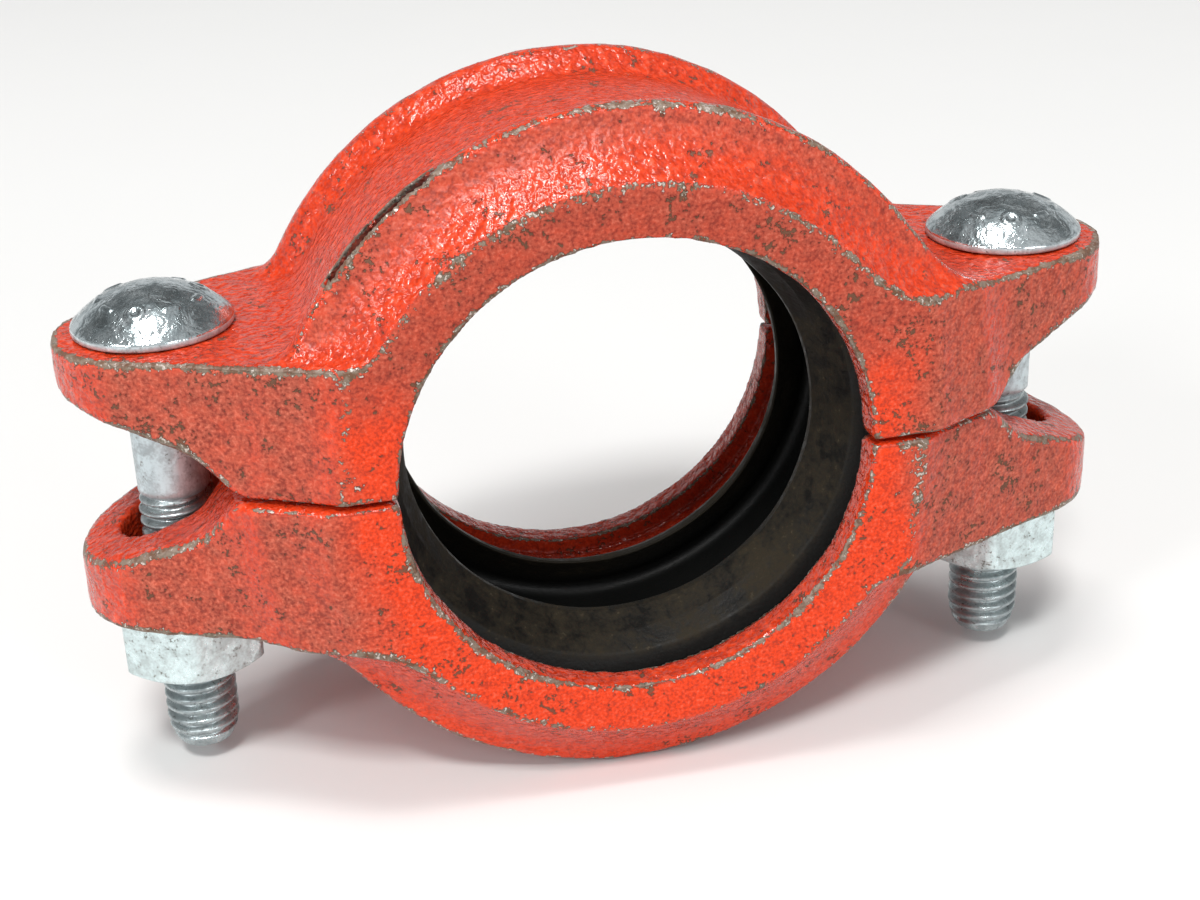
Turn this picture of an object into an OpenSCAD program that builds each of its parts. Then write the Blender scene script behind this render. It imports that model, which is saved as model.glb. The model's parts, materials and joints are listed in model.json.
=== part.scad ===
// Two-bolt grooved pipe coupling for DN50 (2 inch) grooved pipe.
// Two ductile iron housings close on the pipe grooves over a C-section rubber gasket.
// Origin: centre of the ring. X runs bolt to bolt, Y along the pipe, Z up through the bolt heads.

/* [Ring] */
// Width of the ring along the pipe
ring_w = 46.6; // [42:0.2:56]
// Diameter of the keys that drop into the pipe grooves
key_bore_d = 58; // [50:0.5:64]
// Width of each key along the pipe
key_w = 4.4; // [3:0.1:5.2]
// Bevel on both edges of each key
key_bevel = 0.8; // [0.4:0.1:1.2]
// Radial width of the flat front and back faces
face_land = 5.8; // [4.5:0.1:8]
// Radial rise from the flat face to the crest
crest_rise = 8.2; // [7:0.1:11]
// Distance from the flat face back to the crest
crest_inset = 7.1; // [5:0.1:9]
// Depth of the shallow valley between the two crests
valley_depth = 2.6; // [1.2:0.1:3.6]
// Radius on the crests
crest_round = 1.1; // [0.6:0.1:1.5]
// Least wall between the gasket pocket and the valley
ring_wall = 3.6; // [3:0.1:4.4]
// Radial clearance of the shoulders over the pipe's outside
shoulder_relief = 2.6; // [1.8:0.1:3.2]

/* [Gasket] */
// Width of the gasket along the pipe
gasket_w = 29; // [24:0.5:32]
// Thickness of the gasket's back and side walls
gasket_wall = 3.2; // [2.4:0.1:3.8]
// Diameter at the free edges of the two sealing lips
lip_d = 53.2; // [46:0.2:54.4]
// Gap between the free edges of the lips
lip_gap = 13.2; // [9:0.2:15]
// Thickness of a lip near its free edge
lip_tip = 1.1; // [0.8:0.1:1.6]

/* [Bolt pads] */
// Distance between the bolt centres
bolt_span = 110.6; // [106:0.2:134]
// Height of the upper pads' seat above the parting plane
upper_pad_h = 17.3; // [15.5:0.1:21]
// Depth of the lower pads' seat below the parting plane
lower_pad_h = 19.2; // [16.5:0.1:23]
// Radius of the rounded end of a pad in plan
pad_end_r = 12.6; // [11.6:0.1:15]
// Length of the parting face outside the key bore
parting_len = 18.4; // [16:0.1:19.5]
// Height of the steep relief next to the parting face
relief_steep = 5.4; // [4:0.1:6.6]
// Height of the relief under the end of the pad
relief_end = 10.8; // [8.6:0.1:12]
// Radius on the corner under the end of the pad
pad_toe_r = 2.8; // [1:0.1:3.4]
// Cove radius between the pads and the ring
cove_r = 6; // [3:0.5:8]
// Length of the oval bolt hole, towards the ring
hole_len = 14; // [13:0.1:15]
// Width of the oval bolt hole
hole_w = 11.2; // [10.8:0.1:12]
// Gap left between the housings when the pads meet
parting_gap = 0.3; // [0.2:0.05:1]
// Bevel where the key bore meets the parting face
parting_bevel = 1.2; // [0.4:0.1:2]

/* [Bolts and nuts] */
// Diameter of the bolt, outside its thread
bolt_d = 9.525; // [8:0.025:9.9]
// Length of the bolt under its head
bolt_len = 58.4; // [54:0.2:70]
// Length of thread from the end of the bolt
thread_len = 37; // [31:0.5:38]
// Thread pitch, 16 threads to the inch
thread_pitch = 1.5875; // [1.25:0.0125:2]
// Diameter of the round head
head_d = 19.9; // [18:0.1:21]
// Thickness of the head at its rim
head_rim = 0.8; // [0.5:0.1:1.2]
// Height of the dome above the rim
head_dome = 4.8; // [3.4:0.1:5.4]
// Height of the oval neck under the head
neck_h = 6; // [4:0.1:8]
// Width of the nut across its flats
nut_af = 17.46; // [15:0.02:19.2]
// Height of the nut
nut_h = 9.5; // [8:0.1:11]
// Turn of the right nut against the left one
right_nut_turn = -19; // [-30:1:30]

/* [Fits] */
// Clearance between the gasket and its pocket
gasket_fit = 0.4; // [0.3:0.05:0.8]
// Clearance between the oval neck and the oval hole
neck_fit = 0.5; // [0.3:0.05:0.8]
// Radial clearance between the bolt's thread crests and the nut
thread_fit = 0.05; // [0.02:0.01:0.1]

/* [Hidden] */
$fn = 96;
arc_steps = 6;              // straight steps in one rounded corner of an outline
over = 1;                   // how far a cutting solid runs past the face that it cuts
cast_red = [0.80, 0.27, 0.18];
rubber_black = [0.09, 0.09, 0.085];
zinc_bright = [0.80, 0.82, 0.83];
zinc_pale = [0.84, 0.88, 0.86];

half_w = ring_w / 2;
key_r = key_bore_d / 2;
face_in_r = key_r + key_bevel;
face_out_r = face_in_r + face_land;
crest_r = face_out_r + crest_rise;
crest_y = half_w - crest_inset;
valley_r = crest_r - valley_depth;
pocket_r = valley_r - ring_wall;
gasket_half_w = gasket_w / 2;
gasket_r = pocket_r - gasket_fit;
shoulder_r = key_r + shoulder_relief;
bolt_x = bolt_span / 2;
pad_end_x = bolt_x + pad_end_r;
parting_x = key_r + parting_len;
bolt_r = bolt_d / 2;
thread_depth = thread_pitch * 0.55;
nut_corner_r = nut_af / sqrt(3);
face_edge_round = 0.6;      // radius on the outer edge of the flat faces
flank_bow = 0.7;            // how far the flank between face and crest is hollowed
flank_round = 12;           // radius in the middle of the hollow flank
crest_land = 2.2;           // axial width of a crest between its rounded edges
valley_wall_run = 1.6;      // run of the valley's side wall behind each crest
valley_round = 1.8;         // radius at the foot of the valley's side wall
shoulder_round = 0.6;       // radius at both ends of the shoulder
shoulder_slope = 0.4;       // rise of the shoulder from the key to the pocket
pocket_round = 2;           // radius in the corners of the gasket pocket
root_inset = 2;             // how far inside the face's outer edge a pad's straight side starts
relief_knee_round = 7;      // radius where the pad's steep relief turns flat
parting_end_round = 1.4;    // radius at the outer end of the parting face
toe_fall = 0.8;             // fall of the relief below its height, at the pad's toe
toe_rise = 1.2;             // rise of the relief above its height, at the pad's end
pad_edge_round = 0.7;       // radius on the outer edge of a pad's seat
side_round = 1.5;           // radius inside the gasket where its side wall meets its back
lip_root_round = 0.8;       // radius inside the gasket where a lip leaves its side wall
lip_root_clear = 0.6;       // radial distance of that corner outside the shoulder
lip_thicken = 1.2;          // radial thickness of a lip near its tip, in lip tips
lip_lean = 0.2;             // how far a lip's inner face leans past its free edge
lip_edge_round = 0.4;       // radius on a lip's free edge
lip_heel_round = 0.9;       // radius where a lip meets the gasket's side
lip_heel_rise = 0.8;        // radial height of that corner outside the keys
lip_heel_inset = 0.6;       // distance of that corner behind the gasket's side
side_edge_round = 0.6;      // radius where the gasket's side starts, over the shoulder
gasket_round = 1.8;         // radius on the gasket's outer corners
root_share = [0.08, 0.46, 0.54, 0.92];  // where a crest ends, the root starts and ends, a crest starts
dome_steps = 12;            // straight steps from the top of the head to its rim
rim_chamfer = [0.3, 0.2];   // chamfer under the head, in radius and in height
nut_bevel_extra = 0.35;     // depth of the nut's bevel below the middle of its flats
nut_mouth = 0.5;            // countersink at both ends of the nut's thread

// ---- outlines ----

function unit(v) = v / norm(v);

// Arc that rounds the corner p between a and b with radius r.
function corner_arc(a, p, b, r) =
    let (to_a = unit(a - p), to_b = unit(b - p),
         half = acos(to_a * to_b) / 2,
         centre = p + unit(to_a + to_b) * r / sin(half),
         from = p + to_a * r / tan(half) - centre,
         to = p + to_b * r / tan(half) - centre,
         start = atan2(from.y, from.x),
         turn = atan2(from.x * to.y - from.y * to.x, from * to))
    [for (i = [0 : arc_steps]) let (at = start + turn * i / arc_steps) centre + r * [cos(at), sin(at)]];

// Outline through [x, y, radius] corners, where a radius of 0 keeps the corner sharp.
function rounded(corners) =
    let (n = len(corners), flat = [for (c = corners) [c.x, c.y]])
    [for (i = [0 : n - 1])
        each corners[i][2] > 0
            ? corner_arc(flat[(i + n - 1) % n], flat[i], flat[(i + 1) % n], corners[i][2])
            : [flat[i]]];

// Right half of an outline, followed by the same points mirrored to the left.
function both_sides(half_outline) =
    let (n = len(half_outline))
    concat(half_outline,
           [for (i = [n - 1 : -1 : 0]) let (p = half_outline[i]) [p.x, -p.y, p[2]]]);

// Spins an outline drawn as [radius, y] about the pipe axis.
module around_pipe(outline) {
    rotate([-90, 0, 0])
        rotate_extrude()
            polygon(outline);
}

// Extrudes an outline drawn as [x, z] along the pipe, centred on y = 0.
module along_pipe(outline, length) {
    translate([0, length / 2, 0])
        rotate([90, 0, 0])
            linear_extrude(length)
                polygon(outline);
}

// ---- housing casting, drawn as the upper one ----

// Outside of the ring from the middle of the valley to the front face.
ring_outer = both_sides([
    [0, half_w, 0],
    [face_out_r, half_w, face_edge_round],
    [(face_out_r + crest_r) / 2 - flank_bow, half_w - crest_inset / 2 - flank_bow, flank_round],
    [crest_r, crest_y + crest_land / 2, crest_round],
    [crest_r, crest_y - crest_land / 2, crest_round],
    [valley_r, crest_y - crest_land / 2 - valley_wall_run, valley_round],
]);

// Void inside the ring: gasket pocket, shoulders over the pipe and key bores.
ring_inner = both_sides([
    [0, half_w + over, 0],
    [face_in_r + over, half_w + over, 0],
    [key_r, half_w - key_bevel, 0],
    [key_r, half_w - key_w + key_bevel / 2, 0],
    [key_r + key_bevel / 2, half_w - key_w, 0],
    [shoulder_r, half_w - key_w, shoulder_round],
    [shoulder_r + shoulder_slope, gasket_half_w + gasket_fit, shoulder_round],
    [pocket_r, gasket_half_w + gasket_fit, pocket_round],
]);

// Side view of a pad, from inside the ring's wall to the end of the pad.
function pad_side(pad_h) = rounded([
    [key_r - over, 0, 0],
    [parting_x, 0, parting_end_round],
    [parting_x + relief_steep, relief_steep, relief_knee_round],
    [pad_end_x - pad_toe_r, relief_end - toe_fall, pad_toe_r],
    [pad_end_x, relief_end + toe_rise, pad_toe_r / 2],
    [pad_end_x, pad_h, pad_edge_round],
    [key_r - over, pad_h, 0],
]);

// Plan of a pad: straight sides from the ring's flat faces, tangent to the round end.
module pad_plan() {
    root = [face_out_r - root_inset, half_w];
    reach = [bolt_x, 0] - root;
    lean = asin(pad_end_r / norm(reach)) + atan2(reach.y, reach.x);
    touch = [bolt_x, 0] + pad_end_r * [-sin(lean), cos(lean)];
    polygon([
        [key_r - over, half_w], root, touch,
        [touch.x, -touch.y], [root.x, -root.y], [key_r - over, -half_w],
    ]);
    translate([bolt_x, 0])
        circle(r = pad_end_r);
}

module pad(pad_h) {
    intersection() {
        linear_extrude(pad_h + over)
            pad_plan();
        along_pipe(pad_side(pad_h), ring_w);
    }
}

// Hollow fillet in the corner between a pad's seat and the valley.
module pad_cove(pad_h) {
    axis_z = pad_h + cove_r;
    axis_x = sqrt(pow(valley_r + cove_r, 2) - pow(axis_z, 2));
    touch_z = axis_z * valley_r / (valley_r + cove_r);
    intersection() {
        along_pipe([
            [key_r, pad_h - over],
            [axis_x, pad_h - over],
            [axis_x, pad_h],
            [axis_x, axis_z],
            [axis_x * valley_r / (valley_r + cove_r), touch_z],
            [key_r, touch_z],
        ], 2 * crest_y);
        difference() {
            translate([key_r, -half_w, pad_h - over])
                cube([axis_x - key_r, ring_w, axis_z - pad_h + over]);
            translate([axis_x, half_w + over, axis_z])
                rotate([90, 0, 0])
                    cylinder(r = cove_r, h = ring_w + 2 * over);
        }
    }
}

module oval_hole_plan(length, width) {
    run = (length - width) / 2;
    for (side = [-1, 1])
        translate([side * run, 0])
            circle(d = width);
    square([2 * run, width], center = true);
}

module housing(pad_h) {
    difference() {
        union() {
            around_pipe(rounded(ring_outer));
            for (side = [0, 1])
                mirror([side, 0, 0]) {
                    pad(pad_h);
                    pad_cove(pad_h);
                }
        }
        around_pipe(rounded(ring_inner));
        translate([-pad_end_x - over, -half_w - over, -crest_r - over])
            cube([2 * (pad_end_x + over), ring_w + 2 * over, crest_r + over + parting_gap / 2]);
        for (side = [-1, 1]) {
            translate([side * bolt_x, 0, 0])
                linear_extrude(pad_h + over)
                    oval_hole_plan(hole_len, hole_w);
            translate([side * key_r, 0, parting_gap / 2])
                rotate([0, 45, 0])
                    cube([parting_bevel * sqrt(2), ring_w + 2 * over, parting_bevel * sqrt(2)],
                         center = true);
        }
    }
}

module upper_housing() {
    color(cast_red)
        housing(upper_pad_h);
}

module lower_housing() {
    color(cast_red)
        rotate([0, 180, 0])
            housing(lower_pad_h);
}

// ---- gasket ----

// C section, open towards the pipe, with two lips that lean in to each other.
module gasket() {
    lip_y = lip_gap / 2;
    lip_r = lip_d / 2;
    inner_y = gasket_half_w - gasket_wall;
    outline = both_sides([
        [gasket_r - gasket_wall, 0, 0],
        [gasket_r - gasket_wall, inner_y, side_round],
        [shoulder_r + lip_root_clear, inner_y, lip_root_round],
        [lip_r + lip_thicken * lip_tip, lip_y + lip_lean, 0],
        [lip_r, lip_y, 0],
        [lip_r, lip_y + lip_tip, lip_edge_round],
        [key_r + lip_heel_rise, gasket_half_w - lip_heel_inset, lip_heel_round],
        [shoulder_r + lip_heel_rise, gasket_half_w, side_edge_round],
        [gasket_r, gasket_half_w, gasket_round],
    ]);
    color(rubber_black)
        around_pipe(rounded([for (p = outline) if (p.y != 0) p]));
}

// ---- fasteners ----

// Outline of a threaded shank as [radius, z], from the crest under the plain shank down to the end.
function thread_outline(top_z, end_z) =
    let (turns = floor((top_z - end_z - thread_pitch) / thread_pitch))
    concat(
        [for (i = [0 : turns - 1], step = [0 : 3])
            [bolt_r - (step == 1 || step == 2 ? thread_depth : 0),
             top_z - thread_pitch * (i + root_share[step])]],
        [[bolt_r - thread_depth, end_z], [0, end_z]]);

module track_bolt() {
    rim_r = head_d / 2;
    dome_r = (pow(rim_r, 2) + pow(head_dome, 2)) / (2 * head_dome);
    rim_angle = asin(rim_r / dome_r);
    seat_z = upper_pad_h;
    end_z = seat_z - bolt_len;
    color(zinc_bright) {
        rotate_extrude()
            polygon(concat(
                [for (i = [0 : dome_steps])
                    [dome_r * sin(rim_angle * i / dome_steps),
                     seat_z + head_rim + head_dome - dome_r + dome_r * cos(rim_angle * i / dome_steps)]],
                [[rim_r, seat_z + rim_chamfer.y], [rim_r - rim_chamfer.x, seat_z], [bolt_r, seat_z]],
                thread_outline(end_z + thread_len, end_z)));
        translate([0, 0, seat_z - neck_h])
            linear_extrude(neck_h)
                oval_hole_plan(hole_len - 2 * neck_fit, hole_w - 2 * neck_fit);
    }
}

module heavy_nut(turn) {
    bevel_drop = (nut_corner_r - nut_af / 2) * tan(30) + nut_bevel_extra;
    flat_r = nut_corner_r - bevel_drop / tan(30);
    mouth_r = bolt_r + thread_fit + nut_mouth;
    color(zinc_pale)
        translate([0, 0, -lower_pad_h - nut_h])
            difference() {
                intersection() {
                    rotate([0, 0, turn + 30])
                        cylinder(r = nut_corner_r, h = nut_h, $fn = 6);
                    rotate_extrude()
                        polygon([
                            [0, 0], [flat_r, 0], [nut_corner_r, bevel_drop],
                            [nut_corner_r, nut_h - bevel_drop], [flat_r, nut_h], [0, nut_h],
                        ]);
                }
                translate([0, 0, -over])
                    cylinder(r = bolt_r + thread_fit, h = nut_h + 2 * over);
                for (end = [0, 1])
                    translate([0, 0, end * nut_h])
                        mirror([0, 0, end])
                            cylinder(r1 = mouth_r, r2 = bolt_r, h = nut_mouth);
            }
}

module left_bolt() {
    translate([-bolt_x, 0, 0])
        track_bolt();
}

module right_bolt() {
    translate([bolt_x, 0, 0])
        track_bolt();
}

module left_nut() {
    translate([-bolt_x, 0, 0])
        heavy_nut(0);
}

module right_nut() {
    translate([bolt_x, 0, 0])
        heavy_nut(right_nut_turn);
}

lower_housing();
upper_housing();
gasket();
left_bolt();
right_bolt();
left_nut();
right_nut();
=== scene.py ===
"""Grooved pipe coupling: the looks of the castings, gasket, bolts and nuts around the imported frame.

Lengths in the classes are millimetres, as in the CAD source, and meshes are made in metres.
"""

import json
import logging
import math
from dataclasses import dataclass
from enum import Enum

import bmesh
import bpy
import numpy as np
from mathutils import Matrix, Vector


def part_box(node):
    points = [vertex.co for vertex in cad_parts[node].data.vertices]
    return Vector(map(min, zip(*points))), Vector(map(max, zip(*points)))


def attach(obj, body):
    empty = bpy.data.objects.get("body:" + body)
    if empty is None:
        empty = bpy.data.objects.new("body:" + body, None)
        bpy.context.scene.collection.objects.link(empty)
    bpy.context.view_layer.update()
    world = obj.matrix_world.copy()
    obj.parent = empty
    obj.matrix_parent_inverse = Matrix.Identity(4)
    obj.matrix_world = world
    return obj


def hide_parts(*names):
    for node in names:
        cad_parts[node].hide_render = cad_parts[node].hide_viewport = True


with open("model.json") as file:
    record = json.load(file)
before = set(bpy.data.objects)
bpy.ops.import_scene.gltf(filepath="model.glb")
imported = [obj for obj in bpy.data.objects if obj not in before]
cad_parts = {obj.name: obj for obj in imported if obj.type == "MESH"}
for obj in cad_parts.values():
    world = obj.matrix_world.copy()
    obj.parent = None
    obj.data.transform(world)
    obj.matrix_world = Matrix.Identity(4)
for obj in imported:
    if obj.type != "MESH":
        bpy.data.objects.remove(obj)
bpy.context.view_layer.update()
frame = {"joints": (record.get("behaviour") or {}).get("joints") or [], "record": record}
MM = 0.001
Colour = tuple[float, float, float]
log = logging.getLogger("coupling")


class Half(Enum):
    """The two housings. The value turns the upper casting's X and Z into this half's."""

    UPPER = 1
    LOWER = -1


class Side(Enum):
    """The two bolts, by the sign of their X."""

    LEFT = -1
    RIGHT = 1


# ---------------------------------------------------------------- node trees


class Flow:
    """A value flowing through a node tree, which takes ordinary arithmetic."""

    def __init__(self, maker: "TreeMaker", socket: bpy.types.NodeSocket) -> None:
        """Wraps an output socket of a tree."""
        self.maker = maker
        self.socket = socket

    def __add__(self, other: "Flow | float") -> "Flow":
        """The sum."""
        return self.maker.math("ADD", self, other)

    def __radd__(self, other: float) -> "Flow":
        """The sum, with a plain number first."""
        return self.maker.math("ADD", other, self)

    def __sub__(self, other: "Flow | float") -> "Flow":
        """The difference."""
        return self.maker.math("SUBTRACT", self, other)

    def __rsub__(self, other: float) -> "Flow":
        """The difference, with a plain number first."""
        return self.maker.math("SUBTRACT", other, self)

    def __mul__(self, other: "Flow | float") -> "Flow":
        """The product."""
        return self.maker.math("MULTIPLY", self, other)

    def __rmul__(self, other: float) -> "Flow":
        """The product, with a plain number first."""
        return self.maker.math("MULTIPLY", other, self)

    def __truediv__(self, other: "Flow | float") -> "Flow":
        """The quotient."""
        return self.maker.math("DIVIDE", self, other)

    def __neg__(self) -> "Flow":
        """The value with its sign changed."""
        return self.maker.math("MULTIPLY", self, -1.0)

    def __abs__(self) -> "Flow":
        """The value without its sign."""
        return self.maker.math("ABSOLUTE", self)

    def sqrt(self) -> "Flow":
        """The square root."""
        return self.maker.math("SQRT", self)

    def above(self, low: "Flow | float", blend: float = 0.0) -> "Flow":
        """The larger of this and another value.

        Args:
            low: the other value.
            blend: how near the two are where the change between them is smooth.

        Returns:
            The larger value.
        """
        if not blend:
            return self.maker.math("MAXIMUM", self, low)
        return self.maker.math("SMOOTH_MAX", self, low, blend)

    def below(self, high: "Flow | float", blend: "Flow | float | None" = None) -> "Flow":
        """The smaller of this and another value.

        Args:
            high: the other value.
            blend: how near the two are where the change between them is smooth.

        Returns:
            The smaller value.
        """
        if blend is None:
            return self.maker.math("MINIMUM", self, high)
        return self.maker.math("SMOOTH_MIN", self, high, blend)

    def step(self, low: float, high: float, to_low: float = 0.0, to_high: float = 1.0) -> "Flow":
        """A smooth step from to_low at low to to_high at high.

        Args:
            low: where the step starts.
            high: where the step ends.
            to_low: the result at and before the start.
            to_high: the result at and after the end.

        Returns:
            The stepped value.
        """
        made = self.maker.node("ShaderNodeMapRange", {
            "Value": self, "From Min": low, "From Max": high, "To Min": to_low, "To Max": to_high,
        }, interpolation_type="SMOOTHSTEP")
        return Flow(self.maker, made.outputs["Result"])


class TreeMaker:
    """Builds one node tree, of geometry or of a material."""

    def __init__(self, tree: bpy.types.NodeTree) -> None:
        """Starts on the tree to fill."""
        self.tree = tree

    def node(self, kind: str, feeds: "dict[str | int, object] | None" = None,
             **settings: object) -> bpy.types.Node:
        """Adds a node.

        Args:
            kind: Blender's name for the node type.
            feeds: what its inputs take, by their name or index.
            **settings: properties to set on the node.

        Returns:
            The new node.
        """
        made = self.tree.nodes.new(kind)
        for name, setting in settings.items():
            setattr(made, name, setting)
        for name, source in (feeds or {}).items():
            self.plug(made, name, source)
        return made

    def plug(self, node: bpy.types.Node, name: "str | int", source: object) -> None:
        """Feeds an input from a flow or a socket, or sets it to a plain value.

        Args:
            node: the node whose input is fed.
            name: the input's name or index.
            source: a Flow, a socket or a plain value.
        """
        if isinstance(source, Flow):
            source = source.socket
        if isinstance(source, bpy.types.NodeSocket):
            self.tree.links.new(source, node.inputs[name])
        else:
            node.inputs[name].default_value = source

    def math(self, operation: str, *terms: "Flow | float") -> Flow:
        """The result of a Math node with these terms, in order."""
        made = self.node("ShaderNodeMath", dict(enumerate(terms)), operation=operation)
        return Flow(self, made.outputs[0])

    def vector_math(self, operation: str, *terms: bpy.types.NodeSocket) -> bpy.types.Node:
        """A Vector Math node with these terms, in order."""
        return self.node("ShaderNodeVectorMath", dict(enumerate(terms)), operation=operation)

    def split(self, vector: bpy.types.NodeSocket, scale: float = 1.0) -> tuple[Flow, Flow, Flow]:
        """A vector's three parts.

        Args:
            vector: the vector.
            scale: what each part is multiplied by.

        Returns:
            X, Y and Z.
        """
        made = self.node("ShaderNodeSeparateXYZ", {0: vector})
        x, y, z = (Flow(self, made.outputs[axis]) * scale for axis in "XYZ")
        return x, y, z

    def join(self, x: "Flow | float", y: "Flow | float", z: "Flow | float") -> bpy.types.NodeSocket:
        """A vector from its three parts."""
        return self.node("ShaderNodeCombineXYZ", {0: x, 1: y, 2: z}).outputs[0]

    def noise(self, place: bpy.types.NodeSocket, grain: float, detail: float = 2.0,
              seed: float = 0.0, warp: float = 0.0) -> Flow:
        """Cloudy noise about one half.

        Args:
            place: where it is read, in metres.
            grain: the width of one blotch in millimetres.
            detail: how many finer layers it has.
            seed: which of many patterns it is.
            warp: how far the pattern is distorted.

        Returns:
            The noise, from 0 to 1.
        """
        made = self.node("ShaderNodeTexNoise", {
            "Vector": place, "W": seed, "Scale": 1.0 / (grain * MM), "Detail": detail, "Distortion": warp,
        }, noise_dimensions="4D")
        return Flow(self, made.outputs[0])


class GeometryTree(TreeMaker):
    """A Geometry Nodes tree with named number inputs and one geometry output."""

    def __init__(self, name: str, sizes: dict[str, float]) -> None:
        """Makes the tree and its inputs.

        Args:
            name: the tree's name.
            sizes: each input's name and value.
        """
        super().__init__(bpy.data.node_groups.new(name, "GeometryNodeTree"))
        face = self.tree.interface
        face.new_socket("Geometry", in_out="INPUT", socket_type="NodeSocketGeometry")
        face.new_socket("Geometry", in_out="OUTPUT", socket_type="NodeSocketGeometry")
        self.sizes = sizes
        self.keys = {
            label: face.new_socket(label, in_out="INPUT", socket_type="NodeSocketFloat").identifier
            for label in sizes
        }
        self.entry = self.node("NodeGroupInput")
        self.exit = self.node("NodeGroupOutput")

    def size(self, name: str) -> Flow:
        """One of the named inputs, as a flow."""
        return Flow(self, self.entry.outputs[name])

    def place(self) -> bpy.types.NodeSocket:
        """The position of each point."""
        return self.node("GeometryNodeInputPosition").outputs[0]

    def store(self, geometry: bpy.types.NodeSocket, name: str, value: Flow) -> bpy.types.NodeSocket:
        """Keeps a number on each point, for the material to read.

        Args:
            geometry: the geometry that gets the attribute.
            name: the attribute's name.
            value: the number.

        Returns:
            The geometry with its attribute.
        """
        made = self.node("GeometryNodeStoreNamedAttribute", {
            "Geometry": geometry, "Name": name, "Value": value,
        }, data_type="FLOAT", domain="POINT")
        return made.outputs["Geometry"]

    def finish(self, geometry: bpy.types.NodeSocket, material: bpy.types.Material) -> None:
        """Ends the tree in Realize Instances, smooth shading and Set Material.

        Args:
            geometry: the socket that carries the finished geometry.
            material: the material to set.
        """
        for kind in ("GeometryNodeRealizeInstances", "GeometryNodeSetShadeSmooth"):
            geometry = self.node(kind, {"Geometry": geometry}).outputs["Geometry"]
        dressed = self.node("GeometryNodeSetMaterial", {"Geometry": geometry, "Material": material})
        self.plug(self.exit, "Geometry", dressed.outputs["Geometry"])

    def run(self, name: str) -> bpy.types.Object:
        """Applies the tree and keeps its result as a plain mesh object.

        Args:
            name: the finished object's name.

        Returns:
            The finished object, with no modifier.
        """
        start = bpy.data.objects.new(name + "_start", bpy.data.meshes.new(name + "_start"))
        bpy.context.scene.collection.objects.link(start)
        maker = start.modifiers.new("make", "NODES")
        maker.node_group = self.tree
        for label, key in self.keys.items():
            maker[key] = self.sizes[label]
        ready = start.evaluated_get(bpy.context.evaluated_depsgraph_get())
        mesh = bpy.data.meshes.new_from_object(ready)
        mesh.name = name
        bpy.data.objects.remove(start)
        return placed(name, mesh)


class ShaderTree(TreeMaker):
    """A material's node tree around one Principled shader."""

    COLOUR_INPUTS = (6, 7)
    COLOUR_OUTPUT = 2

    def __init__(self, name: str) -> None:
        """Makes the material.

        Args:
            name: the material's name.
        """
        self.material = bpy.data.materials.new(name)
        self.material.use_nodes = True
        super().__init__(self.material.node_tree)
        self.shader = self.tree.nodes["Principled BSDF"]
        self.place = self.node("ShaderNodeTexCoord").outputs["Object"]

    def attribute(self, name: str) -> Flow:
        """A number kept on the mesh."""
        return Flow(self, self.node("ShaderNodeAttribute", attribute_name=name).outputs["Fac"])

    def grains(self, grain: float, seed: float, detail: float = 2.0, warp: float = 0.0) -> Flow:
        """Noise read at the material's own place."""
        return self.noise(self.place, grain, detail, seed, warp)

    def blend(self, share: Flow, first: object, second: object) -> bpy.types.NodeSocket:
        """Mixes two colours.

        Args:
            share: how much of the second there is.
            first: a colour or a colour socket.
            second: a colour or a colour socket.

        Returns:
            The mixed colour.
        """
        made = self.node("ShaderNodeMix", {"Factor": share}, data_type="RGBA")
        for slot, colour in zip(self.COLOUR_INPUTS, (first, second)):
            self.plug(made, slot, colour if isinstance(colour, bpy.types.NodeSocket) else (*colour, 1.0))
        return made.outputs[self.COLOUR_OUTPUT]

    def bump(self, height: Flow, depth: float) -> None:
        """Raises the surface by a height, where 1 stands for a depth in millimetres."""
        made = self.node("ShaderNodeBump", {"Strength": 1.0, "Distance": depth * MM, "Height": height})
        self.plug(self.shader, "Normal", made.outputs[0])

    def set(self, **sockets: object) -> None:
        """Sets the shader's sockets, named in lower case with underscores."""
        for name, value in sockets.items():
            self.plug(self.shader, name.replace("_", " ").title().replace("Ior", "IOR"), value)


def placed(name: str, mesh: bpy.types.Mesh) -> bpy.types.Object:
    """Puts a mesh in the scene as an object at the origin.

    Args:
        name: the object's name.
        mesh: its mesh.

    Returns:
        The object.
    """
    made = bpy.data.objects.new(name, mesh)
    bpy.context.scene.collection.objects.link(made)
    return made


def settle(piece: bpy.types.Object, body: str) -> None:
    """Rides a piece on its body, in place of the CAD node of the same name.

    Args:
        piece: the piece.
        body: the body and the node that it stands for.
    """
    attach(piece, body)
    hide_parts(body)
    log.info("%s on %s: %d faces", piece.name, body, len(piece.data.polygons))


# ---------------------------------------------------------------- meshes


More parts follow.
